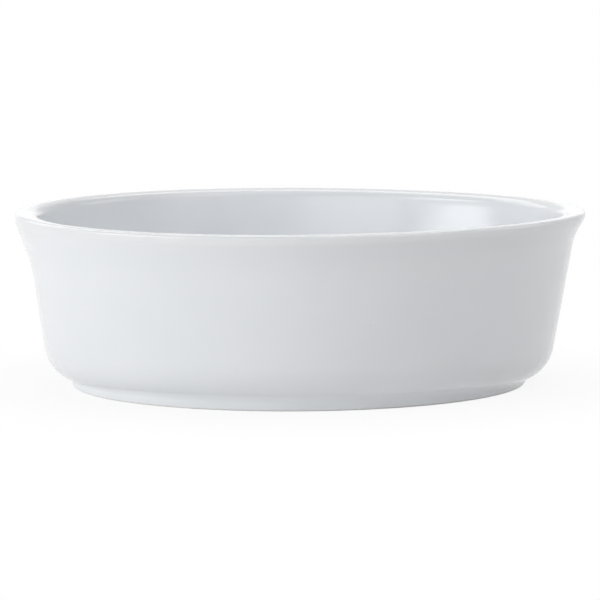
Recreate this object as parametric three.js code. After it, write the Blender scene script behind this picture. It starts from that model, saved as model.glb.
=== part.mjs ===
// Oval pie dish in white glazed porcelain, with a flared rim and a low foot ring.
// Millimetres, +Z up. The origin is on the table in the middle of the foot ring,
// and the long way of the oval lies along X.
import * as THREE from "three";

// Size of the dish over its rim.
const RIM_LENGTH = 180;
const RIM_WIDTH = 144;
const HEIGHT = 55;

// Thickness of the wall and the floor, with the glaze on both faces.
const WALL = 4.6;
const FLOOR = 5;
const GLAZE = 0.4;

// The wall's outer face leans outwards. Its line, carried up to the top of the rim,
// passes inside the rim's edge by the overhang.
const WALL_DRAFT_DEGREES = 8.9;
const RIM_OVERHANG = 2.3;

// The flare curves out under the rim, up to the lower side of the rim's rounded edge.
const FLARE_DROP = 9.3;
const FLARE_RADIUS = 31;
const RIM_EDGE_HEIGHT = 2.6;
const RIM_UNDERSIDE_RADIUS = 3;
const RIM_EDGE_RADIUS = 1;

// The rim is highest at its crown, a little inside the edge. It falls to the edge and to the lip.
const CROWN_INSET = 1.6;
const CROWN_WIDTH = 1.4;
const CROWN_RADIUS = 9;
const CROWN_FALL_OUTSIDE = 0.25;
const CROWN_FALL_INSIDE = 0.65;
const LIP_RADIUS = 2.6;

// The heel slopes from the top of the foot ring out to the wall.
const HEEL_RISE = 2.9;
const HEEL_RUN = 7.1;
const HEEL_RADIUS = 21;

// The rounding between the well's floor and its wall.
const WELL_RADIUS = 11;

// The foot ring: bare clay below the glaze line, glazed above it. Its outer face draws in
// by the inset from the heel down to the table.
const FOOT_RING_WIDTH = 5;
const FOOT_BARE_BAND = 0.25;
const FOOT_GLAZED_BAND = 2.25;
const FOOT_INSET = 0.5;
const FOOT_EDGE_RADIUS = 0.2;
const FOOT_CREASE_RADIUS = 2.6;

// The underside of the floor stands this far above the glaze line inside the foot ring.
const RECESS_RISE = 1.55;
const RECESS_RADIUS = 0.5;

// Fineness of the facets, and the share of a straight run that its two fillets may take up.
const SIDES = 48;
const ARC_STEP_DEGREES = 18;
const FILLET_SHARE = 0.98;

// Radii and heights along the long axis that follow from the sizes above.
const draft = THREE.MathUtils.degToRad(WALL_DRAFT_DEGREES);
const rimRadius = RIM_LENGTH / 2;
const outerWall = (z) => rimRadius - RIM_OVERHANG - (HEIGHT - z) * Math.tan(draft);
const innerWall = (z) => outerWall(z) - WALL / Math.cos(draft);

const edgeTop = HEIGHT - CROWN_FALL_OUTSIDE;
const edgeBottom = HEIGHT - RIM_EDGE_HEIGHT;
const lipTop = HEIGHT - CROWN_FALL_INSIDE;
const flareBottom = edgeBottom - FLARE_DROP;
const footTop = FOOT_BARE_BAND + FOOT_GLAZED_BAND;
const heelTop = footTop + HEEL_RISE;
const footOuter = outerWall(heelTop) - HEEL_RUN;
const glazeLine = footOuter - FOOT_INSET * (FOOT_GLAZED_BAND / footTop);
const footInner = glazeLine - FOOT_RING_WIDTH;
const underside = FOOT_BARE_BAND + RECESS_RISE;
const wellFloor = underside + FLOOR;

// A corner of a profile at radius r and height z, with the radius that rounds it.
const corner = (r, z, fillet = 0) => ({ at: new THREE.Vector2(r, z), fillet });

// The direction a quarter turn to the left of a run.
const leftOf = (run) => new THREE.Vector2(-run.y, run.x).normalize();

// The points of a line through corners, where each fillet is an arc that touches both runs.
// Two fillets that would take up more than the run between them has shrink alike.
function roundedLine(corners) {
  const runs = corners.slice(1).map(({ at }, i) => at.clone().sub(corners[i].at));
  const turnAt = (i) => Math.atan2(runs[i - 1].cross(runs[i]), runs[i - 1].dot(runs[i]));
  const halfTurnSlope = (i) => Math.tan(Math.abs(turnAt(i)) / 2);
  const reaches = corners.map(({ fillet }, i) => (fillet === 0 ? 0 : fillet * halfTurnSlope(i)));
  const shares = runs.map((run, i) => (
    Math.min(1, (FILLET_SHARE * run.length()) / (reaches[i] + reaches[i + 1]))
  ));
  return corners.flatMap(({ at, fillet }, i) => {
    if (fillet === 0) return [at];
    const turn = turnAt(i);
    const reach = reaches[i] * Math.min(shares[i - 1], shares[i]);
    const radius = reach / halfTurnSlope(i);
    const towardsCentre = leftOf(runs[i - 1]).multiplyScalar(Math.sign(turn));
    const start = runs[i - 1].clone().setLength(-reach).add(at);
    const centre = start.addScaledVector(towardsCentre, radius);
    const startAngle = towardsCentre.negate().angle();
    const steps = Math.ceil(Math.abs(turn) / THREE.MathUtils.degToRad(ARC_STEP_DEGREES));
    const arc = new THREE.EllipseCurve(
      centre.x, centre.y, radius, radius, startAngle, startAngle + turn, turn < 0,
    );
    return arc.getPoints(steps);
  });
}

// The line that runs at an even depth to the left of another, point for point.
function insetLine(line, depth) {
  const normals = line.slice(1).map((point, i) => leftOf(point.clone().sub(line[i])));
  return line.map((point, i) => {
    const before = normals[Math.max(i - 1, 0)];
    const after = normals[Math.min(i, normals.length - 1)];
    const mitre = before.clone().add(after).divideScalar(1 + before.dot(after));
    return mitre.multiplyScalar(depth).add(point);
  });
}

// The dish's glazed face: up the outside from the glaze line on the foot, over the rim,
// and down to the middle of the well. The clay lies to the left of it.
const dishFace = roundedLine([
  corner(glazeLine, FOOT_BARE_BAND),
  corner(footOuter, footTop, FOOT_CREASE_RADIUS),
  corner(outerWall(heelTop), heelTop, HEEL_RADIUS),
  corner(outerWall(flareBottom), flareBottom, FLARE_RADIUS),
  corner(rimRadius, edgeBottom, RIM_UNDERSIDE_RADIUS),
  corner(rimRadius, edgeTop, RIM_EDGE_RADIUS),
  corner(rimRadius - CROWN_INSET, HEIGHT, CROWN_RADIUS),
  corner(rimRadius - CROWN_INSET - CROWN_WIDTH, HEIGHT, CROWN_RADIUS),
  corner(innerWall(lipTop), lipTop, LIP_RADIUS),
  corner(innerWall(wellFloor), wellFloor, WELL_RADIUS),
  corner(0, wellFloor),
]);

// The glazed face under the floor, from its middle to the glaze line inside the foot ring.
const baseFace = roundedLine([
  corner(0, underside),
  corner(footInner, underside, RECESS_RADIUS),
  corner(footInner, FOOT_BARE_BAND),
]);

// The clay under each glazed face, and the bare standing edge between the two glaze lines.
const dishClay = insetLine(dishFace, GLAZE);
const baseClay = insetLine(baseFace, GLAZE);
const innerLine = baseClay.at(-1);
const outerLine = dishClay[0];
const standingEdge = roundedLine([
  corner(innerLine.x, innerLine.y),
  corner(innerLine.x, 0, FOOT_EDGE_RADIUS),
  corner(outerLine.x, 0, FOOT_EDGE_RADIUS),
  corner(outerLine.x, outerLine.y),
]).slice(1, -1);

// The oval body of a profile. A full turn of the profile is drawn in across its width by
// half the difference between the rim's length and width, so the wall keeps its thickness.
// The flat middle, inside the well's rounding, narrows evenly to the centre instead.
const drawIn = (RIM_LENGTH - RIM_WIDTH) / 2;
const flatMiddle = innerWall(wellFloor) - WELL_RADIUS;
function ovalBody(profile) {
  const body = new THREE.LatheGeometry(profile, SIDES).rotateX(Math.PI / 2);
  const place = body.getAttribute("position");
  for (let i = 0; i < place.count; i += 1) {
    const radius = Math.hypot(place.getX(i), place.getY(i));
    place.setY(i, place.getY(i) * (1 - drawIn / Math.max(radius, flatMiddle)));
  }
  return body;
}

// A layer of glaze on the clay. Its profile follows the clay in the same direction as the
// body's does, so both have the same facets where they meet, and then its faces are turned out.
function glazeLayer(profile) {
  const layer = ovalBody(profile);
  return layer.setIndex(Array.from(layer.index.array).reverse());
}

const dish = new THREE.Group();

function addPiece(name, geometry, finish) {
  geometry.computeVertexNormals();
  const piece = new THREE.Mesh(geometry, new THREE.MeshStandardMaterial(finish));
  piece.name = name;
  dish.add(piece);
}

// Fired clay, off-white and matt where it shows on the foot ring.
const bareClay = { color: 0xe8e6e1, roughness: 0.75, metalness: 0 };
addPiece("porcelain_body", ovalBody([...baseClay, ...standingEdge, ...dishClay]), bareClay);

// Glossy white glaze, over the dish and in the recess under it.
const whiteGlaze = { color: 0xedeff2, roughness: 0.12, metalness: 0 };
addPiece("glaze_coat", glazeLayer([...dishFace.toReversed(), ...dishClay]), whiteGlaze);
addPiece("base_glaze", glazeLayer([...baseClay, ...baseFace.toReversed()]), whiteGlaze);

export default dish;
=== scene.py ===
import math

import bpy
import numpy as np
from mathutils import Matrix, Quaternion, Vector


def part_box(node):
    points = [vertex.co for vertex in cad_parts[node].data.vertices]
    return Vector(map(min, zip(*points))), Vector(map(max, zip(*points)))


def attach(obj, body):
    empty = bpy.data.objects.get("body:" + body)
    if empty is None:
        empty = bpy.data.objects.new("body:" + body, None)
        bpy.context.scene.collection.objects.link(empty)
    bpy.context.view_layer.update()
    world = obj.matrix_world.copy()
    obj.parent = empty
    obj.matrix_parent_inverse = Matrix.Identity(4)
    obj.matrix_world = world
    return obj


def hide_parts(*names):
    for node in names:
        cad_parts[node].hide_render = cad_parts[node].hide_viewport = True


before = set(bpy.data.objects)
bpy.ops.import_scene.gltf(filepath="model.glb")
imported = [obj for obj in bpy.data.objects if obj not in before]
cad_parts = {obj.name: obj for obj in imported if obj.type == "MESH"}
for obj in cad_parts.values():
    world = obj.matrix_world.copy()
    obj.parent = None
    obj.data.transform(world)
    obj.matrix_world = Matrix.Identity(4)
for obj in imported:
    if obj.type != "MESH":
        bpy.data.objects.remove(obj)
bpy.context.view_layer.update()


# The porcelain body is the fired clay of the dish: floor, wall, flared rim and foot ring, pressed in
# one piece of white clay. It shows only on the foot ring, where the glaze was wiped off before the
# firing so that the dish doesn't stick to the kiln shelf, and the edge was rubbed smooth afterwards.

rim_half_length, rim_half_width, rim_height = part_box("glaze_coat")[1]
floor_thickness = 0.0050
glaze_thickness = 0.0004

rim_underside_radius = 0.0030
rim_edge_radius = 0.0010
crown_inset = 0.0016
crown_width = 0.0014
crown_radius = 0.0090
crown_fall_outside = 0.00025
crown_fall_inside = 0.00065

inner_lip = 0.0831
lip_radius = 0.0026
inner_lean = math.radians(9.3)
well_radius = 0.0110

heel_run = 0.0071
heel_radius = 0.0216
foot_bare_band = 0.00025
foot_inset = 0.0005
foot_inner = 0.0676
foot_edge_radius = 0.0002
recess_rise = 0.00155
recess_radius = 0.0005

# The two ends of the pressing differ a little: on the right the flare under the rim is short, and on
# the left it is drawn out far down the wall. Along the sides the foot is taller and runs softly into
# the heel.
right_end = {
    "lean": math.radians(9.62), "overhang": 0.00203,
    "flare_drop": 0.0059, "flare_radius": 0.0162, "edge_height": 0.0020,
    "heel_rise": 0.0029, "foot_height": 0.0015, "crease_radius": 0.0026,
}
left_end = {
    "lean": math.radians(8.17), "overhang": 0.00251,
    "flare_drop": 0.0128, "flare_radius": 0.0462, "edge_height": 0.0033,
    "heel_rise": 0.0029, "foot_height": 0.0025, "crease_radius": 0.0026,
}
long_side = {size: (right_end[size] + left_end[size]) / 2 for size in right_end}
long_side |= {"heel_rise": 0.0045, "foot_height": 0.0039, "crease_radius": 0.0065}

underside = foot_bare_band + recess_rise
well_floor = underside + floor_thickness
lip_height = rim_height - crown_fall_inside
inner_heel = inner_lip - (lip_height - well_floor) * math.tan(inner_lean)

arc_points = 12
fillet_share = 0.98


def leftwards(heading):
    """The direction a quarter turn to the left of a heading in the plane (r, z)."""
    return np.stack([-np.sin(heading), np.cos(heading)], axis=-1)


def rounded_line(corners):
    """Points (r, z) of a line through corners (r, z, fillet). Each fillet is an arc that touches both of
    its runs, and takes from each its radius times the tangent of half the turn. Where two fillets
    would take more than their share of the run between them, both shrink alike."""
    corners = np.array(corners, dtype=float)
    runs = np.diff(corners[:, :2], axis=0)
    heading = np.arctan2(runs[:, 1], runs[:, 0])
    turn = np.remainder(np.diff(heading) + np.pi, 2 * np.pi) - np.pi
    taken = np.pad(corners[1:-1, 2] * np.tan(np.abs(turn) / 2), 1)
    shrink = np.minimum(1, fillet_share * np.hypot(*runs.T) / (taken[:-1] + taken[1:]))
    taken = taken[1:-1] * np.minimum(shrink[:-1], shrink[1:])
    before = heading[:-1, None]
    start = corners[1:-1, None, :2] - taken[:, None, None] * leftwards(before - np.pi / 2)
    angle = before + turn[:, None] * np.linspace(0, 1, arc_points)
    radius = (taken / np.tan(turn / 2))[:, None, None]
    arcs = start + radius * (leftwards(before) - leftwards(angle))
    return np.vstack([corners[:1, :2], arcs.reshape(-1, 2), corners[-1:, :2]])


def dish_section(
        lean, overhang, flare_drop, flare_radius, edge_height, heel_rise, foot_height, crease_radius):
    """Half section of the glazed face at one place: from the glaze line on the foot up the outside, over
    the rim and down to the middle of the well. The wall is a line at the lean, which would pass inside
    the rim's edge by the overhang; the flare bends it out to the underside of that edge. The rim is
    highest at its crown, a little inside the edge, and falls from there to the edge and to the lip. The
    foot stands in from the wall by the heel's run, and draws in evenly by the inset down to the table."""
    def wall(z):
        return rim_half_length - overhang - (rim_height - z) * math.tan(lean)

    edge_bottom = rim_height - edge_height
    flare_bottom = edge_bottom - flare_drop
    heel_top = foot_height + heel_rise
    foot_outer = wall(heel_top) - heel_run
    glaze_line = foot_outer - foot_inset * (1 - foot_bare_band / foot_height)
    return rounded_line([
        (glaze_line, foot_bare_band, 0),
        (foot_outer, foot_height, crease_radius),
        (wall(heel_top), heel_top, heel_radius),
        (wall(flare_bottom), flare_bottom, flare_radius),
        (rim_half_length, edge_bottom, rim_underside_radius),
        (rim_half_length, rim_height - crown_fall_outside, rim_edge_radius),
        (rim_half_length - crown_inset, rim_height, crown_radius),
        (rim_half_length - crown_inset - crown_width, rim_height, crown_radius),
        (inner_lip, lip_height, lip_radius),
        (inner_heel, well_floor, well_radius),
        (0, well_floor, 0),
    ])


def with_points(lines, spacing):
    """The section lines with points added evenly along each run, as many as the longest of the like
    runs needs for neighbours to lie no further apart than the spacing."""
    runs = np.diff(lines, axis=1)
    longest = np.linalg.norm(runs, axis=2).max(axis=0)
    parts = np.maximum(np.ceil(longest / spacing).astype(int), 1)
    run = np.repeat(np.arange(len(parts)), parts)
    share = (np.arange(len(run)) - (np.cumsum(parts) - parts)[run]) / parts[run]
    return np.concatenate([lines[:, run] + share[:, None] * runs[:, run], lines[:, -1:]], axis=1)


def inset_lines(lines, depth):
    """The lines at an even depth to the left: each point moves along the mitre of the two runs it joins,
    which is the sum of their left normals divided by one plus the normals' dot product."""
    runs = np.diff(lines, axis=1)
    left = np.stack([-runs[..., 1], runs[..., 0]], axis=-1) / np.linalg.norm(runs, axis=2)[..., None]
    before = np.concatenate([left[:, :1], left], axis=1)
    after = np.concatenate([left, left[:, -1:]], axis=1)
    mitre = (before + after) / (1 + (before * after).sum(axis=2))[..., None]
    return lines + depth * mitre


line_spacing = 0.0020
dish_lines = np.stack([dish_section(**place) for place in (right_end, left_end, long_side)])
dish_face = with_points(dish_lines, line_spacing)
dish_clay = inset_lines(dish_face, glaze_thickness)

base_line = rounded_line([
    (0, underside, 0),
    (foot_inner, underside, recess_radius),
    (foot_inner, foot_bare_band, 0),
])
base_face = with_points(np.stack([base_line] * len(dish_lines)), line_spacing)
base_clay = inset_lines(base_face, glaze_thickness)


def standing_edge(inside, outside):
    """The bare edge between the two glaze lines: down, flat across the standing face, and up again."""
    return rounded_line([
        (*inside, 0),
        (inside[0], 0, foot_edge_radius),
        (outside[0], 0, foot_edge_radius),
        (*outside, 0),
    ])[1:-1]


edge_lines = np.stack([standing_edge(*glaze_ends) for glaze_ends in zip(base_clay[:, -1], dish_clay[:, 0])])
bare_edge = with_points(edge_lines, foot_edge_radius)

oval_sides = 240
narrowing = rim_half_length - rim_half_width
flat_middle = inner_heel - well_radius
rim_twist = 0.000316


def oval_rings(lines):
    """Carries a half section round the oval, from the right end's line at t = 0 to the left end's at a
    half turn by a cosine, and from the ends to the long side's line by 1 - cos t to the fourth. A ring of
    long half-axis r is x = r cos t, y = (r - narrowing) sin t, and in the flat middle of the floor y falls
    evenly to nothing with r. The rim has twisted in the kiln: z drops by the twist times sin 2t, in
    proportion to the height."""
    t = np.linspace(0, 2 * np.pi, oval_sides, endpoint=False)
    left_share = ((1 - np.cos(t)) / 2)[:, None]
    side_share = (1 - np.cos(t) ** 4)[:, None]
    right, left, side = lines[:, :, None]
    section = right + left_share * (left - right) + side_share * (side - (right + left) / 2)
    r, z = np.moveaxis(section, -1, 0)
    across = r * (1 - narrowing / np.maximum(r, flat_middle))
    z = z - rim_twist * np.sin(2 * t) * z / rim_height
    return np.stack([r * np.cos(t), across * np.sin(t), z], axis=-1)


def closed_mesh(name, rings):
    """A closed mesh of rings (ring, side, xyz). The first and the last ring lie on the axis and become
    one point each. Four-sided faces join each ring to the next, and a fan closes each end."""
    inner = rings[1:-1]
    count, sides = inner.shape[:2]
    points = np.vstack([inner.reshape(-1, 3), rings[0, :1], rings[-1, :1]])
    side = np.arange(sides)
    after = (side + 1) % sides
    row = np.arange(count - 1)[:, None] * sides
    quads = np.stack([row + side, row + after, row + sides + after, row + sides + side], axis=-1)
    first = count * sides
    last = first + 1
    top = first - sides
    fans = np.vstack([
        np.column_stack([np.full(sides, first), after, side]),
        np.column_stack([np.full(sides, last), top + side, top + after]),
    ])
    mesh = bpy.data.meshes.new(name)
    mesh.from_pydata(points, [], quads.reshape(-1, 4).tolist() + fans.tolist())
    mesh.shade_smooth()
    piece = bpy.data.objects.new(name, mesh)
    bpy.context.collection.objects.link(piece)
    return piece


clay_lines = np.concatenate([base_clay, bare_edge, dish_clay], axis=1)
porcelain_body = closed_mesh("bare_porcelain", oval_rings(clay_lines))


def add_node(tree, kind, inputs, **settings):
    """A shader node with its settings and its inputs: a socket is linked, a value is written."""
    node = tree.nodes.new("ShaderNode" + kind)
    for name, value in settings.items():
        setattr(node, name, value)
    for name, value in inputs.items():
        if isinstance(value, bpy.types.NodeSocket):
            tree.links.new(value, node.inputs[name])
        else:
            node.inputs[name].default_value = value
    return node


def combined(tree, operation, first, second):
    """Two values combined by a Math node's operation."""
    return add_node(tree, "Math", {0: first, 1: second}, operation=operation).outputs[0]


# The Mix node's colour sockets go by number, because its other sockets have the same names.
mix_first_colour = 6
mix_second_colour = 7
mix_colour_result = 2


def colour_mix(tree, share, first, second):
    """The first colour where the share is 0, the second where it is 1."""
    inputs = {"Factor": share, mix_first_colour: first, mix_second_colour: second}
    return add_node(tree, "Mix", inputs, data_type="RGBA").outputs[mix_colour_result]


def mapped(tree, value, low, high, to_low, to_high):
    """Carries a value evenly from one range to another, and holds it at the ends."""
    return add_node(tree, "MapRange", {
        "Value": value, "From Min": low, "From Max": high, "To Min": to_low, "To Max": to_high,
    }).outputs["Result"]


def object_place(tree):
    """The point of the surface, in metres from the object's origin on the table."""
    return add_node(tree, "TexCoord", {}).outputs["Object"]


# Kiln mottle: soft uneven patches of a given size all over a fired surface, from 0 to 1.
mottle_detail = 3.0
mottle_low = 0.3
mottle_high = 0.7

kiln_mottle = bpy.data.node_groups.new("kiln_mottle", "ShaderNodeTree")
kiln_mottle.interface.new_socket("Size", in_out="INPUT", socket_type="NodeSocketFloat")
kiln_mottle.interface.new_socket("Patches", in_out="OUTPUT", socket_type="NodeSocketFloat")
mottle_in = kiln_mottle.nodes.new("NodeGroupInput")
mottle_out = kiln_mottle.nodes.new("NodeGroupOutput")
mottle_noise = add_node(kiln_mottle, "TexNoise", {
    "Vector": object_place(kiln_mottle),
    "Scale": combined(kiln_mottle, "DIVIDE", 1.0, mottle_in.outputs["Size"]),
    "Detail": mottle_detail,
}).outputs["Fac"]
mottle_patches = mapped(kiln_mottle, mottle_noise, mottle_low, mottle_high, 0.0, 1.0)
kiln_mottle.links.new(mottle_patches, mottle_out.inputs["Patches"])


def mottle(tree, size):
    """Kiln mottle of one size in a material."""
    group = tree.nodes.new("ShaderNodeGroup")
    group.node_tree = kiln_mottle
    group.inputs["Size"].default_value = size
    return group.outputs["Patches"]


# Fired clay: matt and finely grained, warm white, a little greyer where the standing face was rubbed.
clay_light = (0.82, 0.81, 0.785, 1)
clay_dark = (0.75, 0.737, 0.71, 1)
clay_rubbed = (0.66, 0.65, 0.63, 1)
clay_patch = 0.006
clay_grain = 0.0005
clay_grain_share = 0.45
clay_grain_height = 0.00002
clay_scuff = 0.0016
rubbed_height = 0.00012
rubbed_share = 0.6
clay_roughness = (0.66, 0.86)

clay = bpy.data.materials.new("fired_clay")
clay.use_nodes = True
clay_tree = clay.node_tree
clay_shader = clay_tree.nodes["Principled BSDF"]
grain = mottle(clay_tree, clay_grain)
grain_colour = combined(clay_tree, "MULTIPLY", grain, clay_grain_share)
patched = colour_mix(clay_tree, mottle(clay_tree, clay_patch), clay_light, clay_dark)
grained = colour_mix(clay_tree, grain_colour, patched, clay_dark)
above_table = add_node(clay_tree, "SeparateXYZ", {"Vector": object_place(clay_tree)}).outputs["Z"]
standing = mapped(clay_tree, above_table, 0.0, rubbed_height, rubbed_share, 0.0)
scuffed = combined(clay_tree, "MULTIPLY", standing, mottle(clay_tree, clay_scuff))
rubbed = colour_mix(clay_tree, scuffed, grained, clay_rubbed)
clay_tree.links.new(rubbed, clay_shader.inputs["Base Color"])
clay_tree.links.new(mapped(clay_tree, grain, 0.0, 1.0, *clay_roughness), clay_shader.inputs["Roughness"])
clay_bump = add_node(clay_tree, "Bump", {"Height": grain, "Distance": clay_grain_height})
clay_tree.links.new(clay_bump.outputs["Normal"], clay_shader.inputs["Normal"])
porcelain_body.data.materials.append(clay)

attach(porcelain_body, "root")
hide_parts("porcelain_body")


# The base glaze is the white glass in the shallow recess under the floor. It was poured with the rest of
# the glaze and wiped back to a line inside the foot ring, where it melted to a small round bead.

bead_height = 0.0003
bead_points = 7
bead_wave = 0.00004
bead_wave_reach = 0.00025
bead_wave_turns = np.array([5, 11, 17])
bead_wave_starts = np.array([0.4, 2.1, 4.4])


def bead(clay_end, outwards):
    """The rounded edge of the glaze at its line on the clay: a quarter of an ellipse, as deep as the glaze
    and as high as the bead. It starts on the clay and bulges outwards (1) or towards the axis (-1)."""
    angle = np.linspace(0, np.pi / 2, bead_points)[1:]
    quarter = np.column_stack([outwards * glaze_thickness * np.sin(angle), bead_height * (1 - np.cos(angle))])
    return clay_end[:, None] + quarter


def wavy_edge(rings):
    """Lets the wiped glaze line wander: z moves by a sum of three sine waves round the oval, which dies
    away with the height above the line."""
    t = np.linspace(0, 2 * np.pi, oval_sides, endpoint=False)
    wave = np.sin(bead_wave_turns[:, None] * t + bead_wave_starts[:, None]).sum(axis=0)
    rise = rings[..., 2] - foot_bare_band
    moved = rings.copy()
    moved[..., 2] += bead_wave * wave * np.exp(-np.maximum(rise, 0) / bead_wave_reach)
    return moved


hollow_or_edge_reach = 0.0025


def hollow_or_edge(lines):
    """How much a section bends into a hollow or over an edge, from -1 to 1. The glaze colour uses it both for
    the glaze pooling thick or drawing thin, and for painted light in the hollows and painted shade on the
    edges.
    The turn of the line to the right counts as a hollow, to the left as an edge. Each turn is spread by a
    bell curve of the reach along the line, and the sum is levelled by a hyperbolic tangent."""
    line = lines.mean(axis=0)
    runs = np.diff(line, axis=0)
    heading = np.unwrap(np.arctan2(runs[:, 1], runs[:, 0]))
    turn = np.concatenate([[0], -np.diff(heading), [0]])
    along = np.concatenate([[0], np.cumsum(np.hypot(*runs.T))])
    spread = np.exp(-((along[:, None] - along) / hollow_or_edge_reach) ** 2)
    return np.tanh(spread @ turn)


def mark_hollow_or_edge(piece, values):
    """Stores the hollow-or-edge value of each ring on all points of the ring, in the order of the mesh. The
    glaze colour uses it for painted light and shade.
    """
    attribute = piece.data.attributes.new("hollow_or_edge_value", "FLOAT", "POINT")
    points = np.concatenate([np.repeat(values[1:-1], oval_sides), values[:1], values[-1:]])
    attribute.data.foreach_set("value", points.astype(np.float32))


base_bead = bead(base_clay[:, -1], -1)
base_surface = np.concatenate([base_face[:, :-1], base_bead[:, ::-1]], axis=1)
base_lines = np.concatenate([base_surface, base_clay[:, ::-1]], axis=1)
base_glaze = closed_mesh("base_glaze_skin", wavy_edge(oval_rings(base_lines)))
mark_hollow_or_edge(base_glaze, np.concatenate([hollow_or_edge(base_surface), np.zeros(base_clay.shape[1])]))

# White glaze: cool white glass, whiter in hollows and greyer on edges. This is partly the glaze pooling thick
# and drawing thin, and partly painted light that lifts the shade in the creases and painted shade on the
# edges.
# Its surface has the soft ripple of melted glass, and here and there a speck no larger than a pinhead.
glaze_white = (0.848, 0.868, 0.893, 1)
glaze_cloud = (0.832, 0.854, 0.881, 1)
# The edge colour is partly painted shade, and the hollow colour partly painted light.
thin_glaze_and_painted_shade = (0.828, 0.842, 0.856, 1)
pooled_glaze_and_painted_light = (0.900, 0.913, 0.927, 1)
glaze_speck = (0.50, 0.48, 0.45, 1)
cloud_size = 0.035
pool_and_light_share = 0.8
thin_and_shade_share = 0.6
speck_spacing = 0.011
speck_core = 0.016
speck_edge = 0.032
speck_share = 0.2
gloss_patch = 0.014
glaze_roughness = (0.11, 0.17)
swell_size = 0.018
swell_height = 0.00003
ripple_size = 0.0045
ripple_height = 0.000006

white_glaze = bpy.data.materials.new("white_glaze")
white_glaze.use_nodes = True
glaze_tree = white_glaze.node_tree
glaze_shader = glaze_tree.nodes["Principled BSDF"]
hollow_or_edge_value = add_node(glaze_tree, "Attribute", {}, attribute_name="hollow_or_edge_value").outputs["Fac"]
# Painted light whitens the hollows and painted shade greys the edges, besides the glaze pooling and thinning.
hollow_pool_and_light = mapped(glaze_tree, hollow_or_edge_value, 0.0, 1.0, 0.0, pool_and_light_share)
edge_thin_and_shade = mapped(glaze_tree, hollow_or_edge_value, -1.0, 0.0, thin_and_shade_share, 0.0)
clouded = colour_mix(glaze_tree, mottle(glaze_tree, cloud_size), glaze_white, glaze_cloud)
pooled_and_lit = colour_mix(glaze_tree, hollow_pool_and_light, clouded, pooled_glaze_and_painted_light)
thinned_and_shaded = colour_mix(glaze_tree, edge_thin_and_shade, pooled_and_lit, thin_glaze_and_painted_shade)
speck_cells = add_node(glaze_tree, "TexVoronoi", {
    "Vector": object_place(glaze_tree), "Scale": 1 / speck_spacing,
}).outputs["Distance"]
in_speck = mapped(glaze_tree, speck_cells, speck_core, speck_edge, speck_share, 0.0)
specked = colour_mix(glaze_tree, in_speck, thinned_and_shaded, glaze_speck)
glaze_tree.links.new(specked, glaze_shader.inputs["Base Color"])
gloss = mapped(glaze_tree, mottle(glaze_tree, gloss_patch), 0.0, 1.0, *glaze_roughness)
glaze_tree.links.new(gloss, glaze_shader.inputs["Roughness"])
swell = add_node(glaze_tree, "Bump", {"Height": mottle(glaze_tree, swell_size), "Distance": swell_height})
ripple = add_node(glaze_tree, "Bump", {
    "Height": mottle(glaze_tree, ripple_size), "Distance": ripple_height, "Normal": swell.outputs["Normal"],
})
glaze_tree.links.new(ripple.outputs["Normal"], glaze_shader.inputs["Normal"])
base_glaze.data.materials.append(white_glaze)

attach(base_glaze, "root")
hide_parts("base_glaze")


# The glaze coat is the glass over the whole dish, from the glaze line on the foot up the wall, over the
# rim and down to the middle of the well. The dish was dipped and fired, so the coat follows every form.

coat_bead = bead(dish_clay[:, 0], 1)
coat_surface = np.concatenate([coat_bead, dish_face[:, 1:]], axis=1)
coat_lines = np.concatenate([dish_clay[:, ::-1], coat_surface], axis=1)
glaze_coat = closed_mesh("glaze_coat_skin", wavy_edge(oval_rings(coat_lines)))
mark_hollow_or_edge(glaze_coat, np.concatenate([np.zeros(dish_clay.shape[1]), hollow_or_edge(coat_surface)]))
glaze_coat.data.materials.append(white_glaze)

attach(glaze_coat, "root")
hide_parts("glaze_coat")


# The floor is a plain white sheet. What the camera and the reflections see of it is white away from the
# dish, and close to the dish it keeps a soft part of the shadow.

floor_half = 4.0
floor_corners = floor_half * np.array([(-1, -1, 0), (1, -1, 0), (1, 1, 0), (-1, 1, 0)])
floor_mesh = bpy.data.meshes.new("studio_floor")
floor_mesh.from_pydata(floor_corners, [], [(0, 1, 2, 3)])
studio_floor = bpy.data.objects.new("studio_floor", floor_mesh)
bpy.context.collection.objects.link(studio_floor)


def seen_rays(tree):
    """1 for a ray from the camera, a reflection or a transmission, 0 for one that only lights something."""
    path = add_node(tree, "LightPath", {}).outputs
    seen = combined(tree, "MAXIMUM", path["Is Camera Ray"], path["Is Glossy Ray"])
    return combined(tree, "MAXIMUM", seen, path["Is Transmission Ray"])


floor_grey = (0.9, 0.9, 0.9, 1)
shadow_oval = (0.073, 0.055, 1)
shadow_from = 0.9
shadow_to = 1.9
white_near = 0.88

sheet = bpy.data.materials.new("studio_floor")
sheet.use_nodes = True
sheet_tree = sheet.node_tree
sheet_tree.nodes.clear()
matt_sheet = add_node(sheet_tree, "BsdfDiffuse", {"Color": floor_grey})
white_sheet = add_node(sheet_tree, "Emission", {})
in_ovals = add_node(
    sheet_tree, "VectorMath", {0: object_place(sheet_tree), 1: shadow_oval}, operation="DIVIDE")
from_dish = add_node(sheet_tree, "VectorMath", {0: in_ovals.outputs["Vector"]}, operation="LENGTH")
whiteness = add_node(sheet_tree, "MapRange", {
    "Value": from_dish.outputs["Value"], "From Min": shadow_from, "From Max": shadow_to, "To Min": white_near,
}, interpolation_type="SMOOTHSTEP")
seen_white = combined(sheet_tree, "MULTIPLY", seen_rays(sheet_tree), whiteness.outputs["Result"])
sheet_mix = add_node(
    sheet_tree, "MixShader", {0: seen_white, 1: matt_sheet.outputs[0], 2: white_sheet.outputs[0]})
add_node(sheet_tree, "OutputMaterial", {"Surface": sheet_mix.outputs[0]})
floor_mesh.materials.append(sheet)


# The light is ten soft boxes all round, the strongest behind the dish and to the left of the camera.
# The room is white where it is seen or mirrored, and gives no light of its own.

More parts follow.
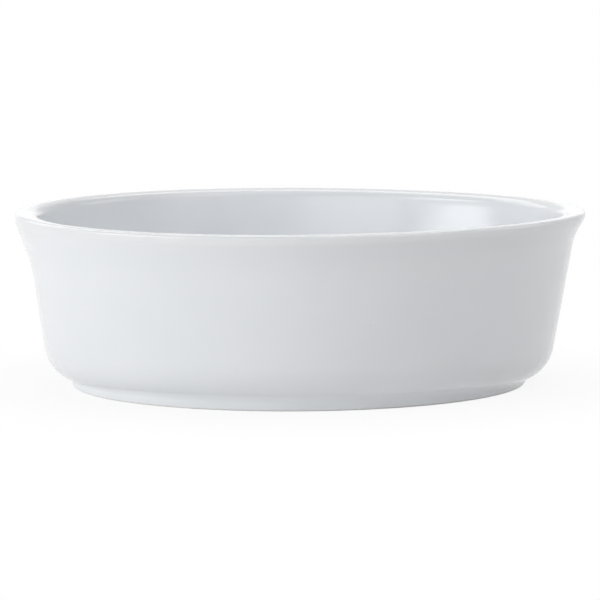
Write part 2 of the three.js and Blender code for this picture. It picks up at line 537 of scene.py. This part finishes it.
white = (1, 1, 1, 1)
world = bpy.data.worlds.new("white_room")
bpy.context.scene.world = world
world.use_nodes = True
room_tree = world.node_tree
room_tree.nodes.clear()
white_room = add_node(room_tree, "Background", {"Color": white, "Strength": seen_rays(room_tree)})
add_node(room_tree, "OutputWorld", {"Surface": white_room.outputs[0]})

dish_middle = Vector((0, 0, rim_height / 2))


def outwards_to(azimuth, elevation):
    """The direction from the dish to a place round it, in radians: azimuth 0 is in front, a quarter turn
    is on the right."""
    return Vector((
        math.sin(azimuth) * math.cos(elevation),
        -math.cos(azimuth) * math.cos(elevation),
        math.sin(elevation),
    ))


def soft_box(name, azimuth, elevation, distance, width, height, power):
    """A soft oval light that faces the middle of the dish from a direction in degrees: azimuth 0 is in
    front, 90 on the right, 180 behind and 270 on the left."""
    towards = outwards_to(math.radians(azimuth), math.radians(elevation))
    light = bpy.data.lights.new(name, "AREA")
    light.shape = "ELLIPSE"
    light.size = width
    light.size_y = height
    light.energy = power
    box = bpy.data.objects.new(name, light)
    box.location = dish_middle + towards * distance
    box.rotation_euler = (-towards).to_track_quat("-Z", "Y").to_euler()
    box.visible_camera = False
    bpy.context.collection.objects.link(box)


soft_box("left_strip", azimuth=295, elevation=6.5, distance=1.4, width=1.3, height=0.3, power=5.2)
soft_box("key_box", azimuth=300, elevation=27, distance=1.4, width=1.1, height=0.5, power=5.5)
soft_box("front_left_box", azimuth=340, elevation=13, distance=1.4, width=0.9, height=0.6, power=1.6)
soft_box("front_box", azimuth=0, elevation=13, distance=1.4, width=1.2, height=0.6, power=0.5)
soft_box("front_right_box", azimuth=45, elevation=30, distance=1.4, width=0.9, height=0.9, power=1.9)
soft_box("high_right_box", azimuth=45, elevation=62, distance=1.6, width=1.2, height=1.2, power=5.3)
soft_box("right_box", azimuth=90, elevation=30, distance=1.4, width=0.9, height=0.9, power=3.4)
soft_box("back_strip", azimuth=175, elevation=9, distance=1.4, width=1.4, height=0.25, power=0.34)
soft_box("back_box", azimuth=180, elevation=55, distance=1.6, width=1.2, height=1.2, power=7.1)
soft_box("back_left_box", azimuth=225, elevation=35, distance=1.4, width=0.9, height=0.9, power=3.5)


# The camera stands in front of the dish, a little to the left and above the rim, with a long lens.

camera_distance = 0.8895
camera_azimuth = math.radians(-5.331)
camera_elevation = math.radians(7.903)
camera_roll = math.radians(0.048)
camera_aim = Vector((0, 0, 0.027))
sensor_width = 36.0
focal_length = 168.07
frame_shift = (-0.00191, -0.00474)

camera_back = outwards_to(camera_azimuth, camera_elevation)
lens = bpy.data.cameras.new("camera")
lens.sensor_width = sensor_width
lens.lens = focal_length
lens.shift_x, lens.shift_y = frame_shift
camera = bpy.data.objects.new("camera", lens)
camera.rotation_mode = "QUATERNION"
camera.location = camera_aim + camera_back * camera_distance
camera.rotation_quaternion = (-camera_back).to_track_quat("-Z", "Y") @ Quaternion((0, 0, 1), camera_roll)
bpy.context.collection.objects.link(camera)
bpy.context.scene.camera = camera
bpy.context.scene.view_settings.view_transform = "Standard"
